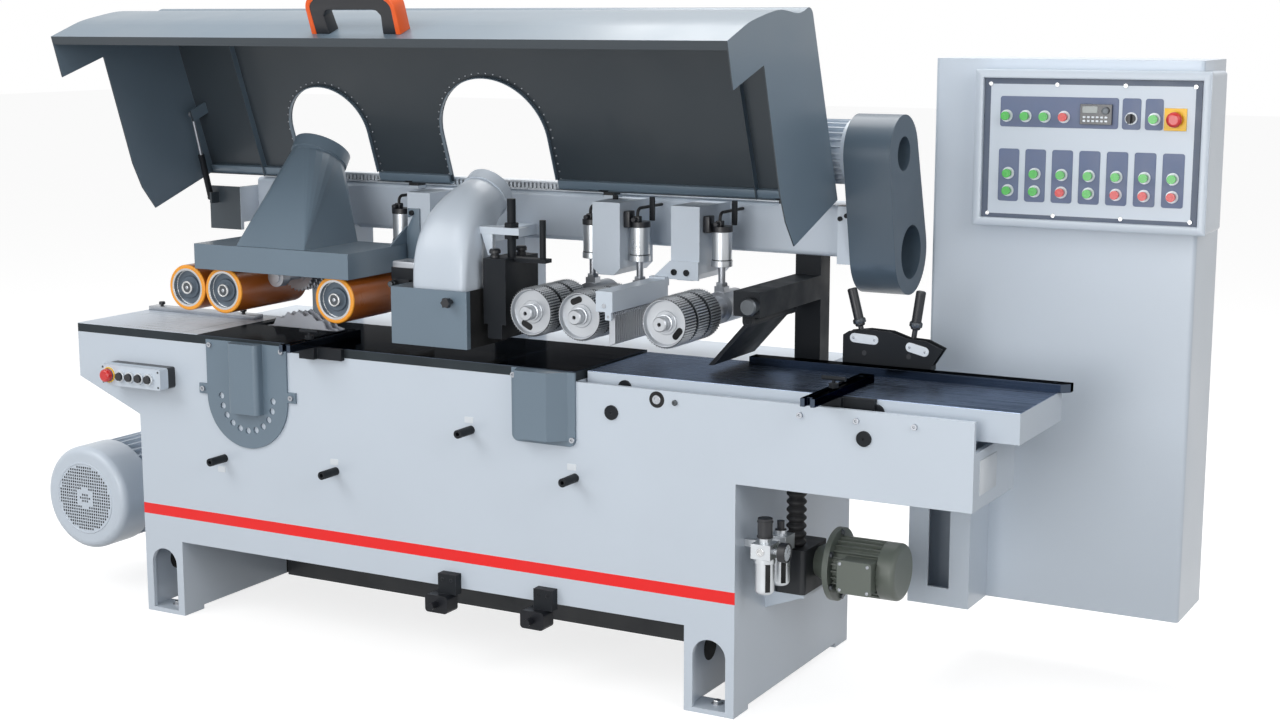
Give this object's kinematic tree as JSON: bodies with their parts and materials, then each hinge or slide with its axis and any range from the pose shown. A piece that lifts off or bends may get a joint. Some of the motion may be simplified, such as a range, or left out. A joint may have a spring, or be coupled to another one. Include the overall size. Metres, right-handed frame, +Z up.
{
  "type": "multi-rip saw",
  "caption": "Floor-standing multi-rip saw with power feed rollers, twin arbors, dust hoods, hinged cover and a side switch cabinet.",
  "frame": {"origin": "centre of the four anchor holes, on the floor under the feet", "axes": "+X along the machine from the outfeed end to the infeed end, -Y towards the operator, +Z up"},
  "size_m": [3.178, 1.0586, 1.7083],
  "materials": {
    "paint_white": "satin enamel",
    "paint_slate": "satin enamel",
    "table_steel": "ground",
    "black_iron": "blackened",
    "bright_steel": "turned",
    "orange_rubber": "smooth",
    "aluminium": "anodised",
    "black_rubber": "matte",
    "black_plastic": "matte",
    "red_plastic": "gloss",
    "green_plastic": "gloss",
    "clear_plastic": "smoked",
    "motor_grey": "satin enamel"
  },
  "bodies": {
    "base": {"base_frame": "paint_white", "main_table": "table_steel", "outfeed_clamp": "black_iron", "saw_cover": "paint_slate", "cutter_cover": "paint_slate", "screws": "bright_steel", "crank_units": "black_iron", "pendant_box": "paint_white", "saw_motor": "paint_white", "chip_hood": "paint_white", "chip_cover": "paint_slate", "feed_beam": "paint_white", "press_cylinders": "aluminium", "air_tubes": "black_rubber", "finger_bar": "paint_white", "kickback_frame": "black_iron", "dust_hood": "paint_slate", "belt_cover": "paint_slate", "feed_motor": "paint_white", "cabinet": "paint_white", "frl_unit": "clear_plastic", "lift_gearmotor": "motor_grey", "bellows": "black_rubber"},
    "infeed": {"infeed_table": "table_steel", "infeed_fence": "table_steel", "infeed_clamp": "black_iron", "lever_bracket": "black_iron"},
    "hood": {"hood_shell": "paint_slate", "hood_handle": "black_plastic"},
    "infeed_guide": {"infeed_guide": "table_steel"},
    "outfeed_guide": {"outfeed_guide": "table_steel"},
    "adjuster_1": {"adjuster_1": "black_iron"},
    "adjuster_2": {"adjuster_2": "black_iron"},
    "adjuster_3": {"adjuster_3": "black_iron"},
    "adjuster_4": {"adjuster_4": "black_iron"},
    "pendant_buttons": {"pendant_buttons": "black_plastic"},
    "pendant_estop": {"pendant_estop": "red_plastic"},
    "lower_arbor": {"lower_arbor": "bright_steel"},
    "upper_arbor": {"upper_arbor": "bright_steel"},
    "pressure_block": {"pressure_block": "black_iron"},
    "press_unit_1": {"press_unit_1": "bright_steel"},
    "press_unit_2": {"press_unit_2": "bright_steel"},
    "press_unit_3": {"press_unit_3": "bright_steel"},
    "press_unit_4": {"press_unit_4": "bright_steel"},
    "press_unit_5": {"press_unit_5": "bright_steel"},
    "knurled_roller_1": {"knurled_roller_1": "bright_steel"},
    "knurled_roller_2": {"knurled_roller_2": "bright_steel"},
    "knurled_roller_3": {"knurled_roller_3": "bright_steel"},
    "rubber_roller_1": {"rubber_roller_1": "orange_rubber"},
    "rubber_roller_2": {"rubber_roller_2": "orange_rubber"},
    "rubber_roller_3": {"rubber_roller_3": "orange_rubber"},
    "kickback_fingers": {"kickback_fingers": "bright_steel"},
    "kickback_flap": {"kickback_flap": "black_iron"},
    "strut_cylinder": {"strut_cylinder": "black_iron"},
    "strut_rod": {"strut_rod": "bright_steel"},
    "lever_1": {"lever_1": "black_plastic"},
    "lever_2": {"lever_2": "black_plastic"},
    "panel_buttons": {"panel_buttons": "green_plastic"},
    "panel_selector": {"panel_selector": "black_plastic"},
    "panel_estop": {"panel_estop": "red_plastic"}
  },
  "joints": [
    {"name": "table_lift", "type": "slide", "parent": "base", "child": "infeed", "axis": [0, 0, 1], "range_m": [-0.015, 0.003], "deforming": ["bellows"]},
    {"name": "infeed_guide_slide", "type": "slide", "parent": "infeed", "child": "infeed_guide", "axis": [0, 1, 0], "range_m": [-0.05, 0.06]},
    {"name": "outfeed_guide_slide", "type": "slide", "parent": "base", "child": "outfeed_guide", "axis": [0, 1, 0], "range_m": [-0.02, 0.06]},
    {"name": "adjuster_1_turn", "type": "hinge", "parent": "base", "child": "adjuster_1", "pos_m": [-0.62, -0.3475, 0.47], "axis": [0, 1, 0], "continuous": true},
    {"name": "adjuster_2_turn", "type": "hinge", "parent": "base", "child": "adjuster_2", "pos_m": [-0.245, -0.3475, 0.476], "axis": [0, 1, 0], "continuous": true},
    {"name": "adjuster_3_turn", "type": "hinge", "parent": "base", "child": "adjuster_3", "pos_m": [0.182, -0.3475, 0.63], "axis": [0, 1, 0], "continuous": true},
    {"name": "adjuster_4_turn", "type": "hinge", "parent": "base", "child": "adjuster_4", "pos_m": [0.484, -0.3475, 0.541], "axis": [0, 1, 0], "continuous": true},
    {"name": "pendant_buttons_press", "type": "slide", "parent": "base", "child": "pendant_buttons", "axis": [0, 1, 0], "range_m": [0, 0.004], "stiffness_N_per_m": 900, "springref_m": -0.002},
    {"name": "pendant_estop_press", "type": "slide", "parent": "base", "child": "pendant_estop", "axis": [0, 1, 0], "range_m": [0, 0.005], "stiffness_N_per_m": 900, "springref_m": -0.002},
    {"name": "panel_buttons_press", "type": "slide", "parent": "base", "child": "panel_buttons", "axis": [0, 1, 0], "range_m": [0, 0.004], "stiffness_N_per_m": 2500, "springref_m": -0.002},
    {"name": "panel_estop_press", "type": "slide", "parent": "base", "child": "panel_estop", "axis": [0, 1, 0], "range_m": [0, 0.005], "stiffness_N_per_m": 900, "springref_m": -0.002},
    {"name": "panel_selector_turn", "type": "hinge", "parent": "base", "child": "panel_selector", "pos_m": [1.653, 0.244, 1.415], "axis": [0, 1, 0], "range_deg": [-45, 45]},
    {"name": "lower_arbor_spin", "type": "hinge", "parent": "base", "child": "lower_arbor", "pos_m": [-0.531, -0.09, 0.69], "axis": [0, 1, 0], "continuous": true},
    {"name": "upper_arbor_spin", "type": "hinge", "parent": "base", "child": "upper_arbor", "pos_m": [-0.531, -0.09, 0.955], "axis": [0, 1, 0], "continuous": true},
    {"name": "pressure_block_slide", "type": "slide", "parent": "base", "child": "pressure_block", "axis": [0, 0, 1], "range_m": [-0.04, 0]},
    {"name": "press_1_lift", "type": "slide", "parent": "base", "child": "press_unit_1", "axis": [0, 0, 1], "range_m": [-0.025, 0.005]},
    {"name": "press_2_lift", "type": "slide", "parent": "base", "child": "press_unit_2", "axis": [0, 0, 1], "range_m": [-0.025, 0.005]},
    {"name": "press_3_lift", "type": "slide", "parent": "base", "child": "press_unit_3", "axis": [0, 0, 1], "range_m": [-0.025, 0.005]},
    {"name": "press_4_lift", "type": "slide", "parent": "base", "child": "press_unit_4", "axis": [0, 0, 1], "range_m": [-0.025, 0.005]},
    {"name": "press_5_lift", "type": "slide", "parent": "base", "child": "press_unit_5", "axis": [0, 0, 1], "range_m": [-0.025, 0.005]},
    {"name": "knurled_1_spin", "type": "hinge", "parent": "press_unit_1", "child": "knurled_roller_1", "pos_m": [0.329, -0.15, 0.932], "axis": [0, 1, 0], "continuous": true},
    {"name": "knurled_2_spin", "type": "hinge", "parent": "press_unit_2", "child": "knurled_roller_2", "pos_m": [0.468, -0.15, 0.932], "axis": [0, 1, 0], "continuous": true},
    {"name": "knurled_3_spin", "type": "hinge", "parent": "press_unit_3", "child": "knurled_roller_3", "pos_m": [0.702, -0.15, 0.932], "axis": [0, 1, 0], "continuous": true},
    {"name": "rubber_1_spin", "type": "hinge", "parent": "press_unit_4", "child": "rubber_roller_1", "pos_m": [-0.775, -0.15, 0.921], "axis": [0, 1, 0], "continuous": true},
    {"name": "rubber_2_spin", "type": "hinge", "parent": "press_unit_4", "child": "rubber_roller_2", "pos_m": [-0.648, -0.15, 0.921], "axis": [0, 1, 0], "continuous": true},
    {"name": "rubber_3_spin", "type": "hinge", "parent": "press_unit_5", "child": "rubber_roller_3", "pos_m": [-0.274, -0.15, 0.921], "axis": [0, 1, 0], "continuous": true},
    {"name": "fingers_swing", "type": "hinge", "parent": "base", "child": "kickback_fingers", "pos_m": [0.568, -0.18, 0.942], "axis": [0, 1, 0], "range_deg": [0, 15]},
    {"name": "flap_swing", "type": "hinge", "parent": "base", "child": "kickback_flap", "pos_m": [0.865, -0.05, 0.932], "axis": [0, 1, 0], "range_deg": [0, 13]},
    {"name": "hood_close", "type": "hinge", "parent": "base", "child": "hood", "pos_m": [0, 0.083, 1.208], "axis": [1, 0, 0], "range_deg": [0, 69]},
    {"name": "strut_turn", "type": "hinge", "parent": "base", "child": "strut_cylinder", "pos_m": [-0.965, 0.032, 1.134], "axis": [1, 0, 0], "range_deg": [0, 66.5]},
    {"name": "strut_slide", "type": "slide", "parent": "strut_cylinder", "child": "strut_rod", "axis": [0, -0.2695, 0.963], "range_m": [-0.1015, 0]},
    {"name": "lever_1_swing", "type": "hinge", "parent": "infeed", "child": "lever_1", "pos_m": [1.085, 0.036, 0.845], "axis": [0, 1, 0], "range_deg": [-20, 20]},
    {"name": "lever_2_swing", "type": "hinge", "parent": "infeed", "child": "lever_2", "pos_m": [1.2, 0.036, 0.845], "axis": [0, 1, 0], "range_deg": [-20, 20]}
  ],
  "couplings": [
    {"joint": "knurled_2_spin", "follows": "knurled_1_spin", "ratio": 1},
    {"joint": "knurled_3_spin", "follows": "knurled_1_spin", "ratio": 1},
    {"joint": "rubber_1_spin", "follows": "knurled_1_spin", "ratio": 1.008},
    {"joint": "rubber_2_spin", "follows": "knurled_1_spin", "ratio": 1.008},
    {"joint": "rubber_3_spin", "follows": "knurled_1_spin", "ratio": 1.008},
    {"joint": "strut_turn", "follows": "hood_close", "ratio": 0.953},
    {"joint": "strut_slide", "follows": "hood_close", "m_per_rad": -0.0838}
  ]
}
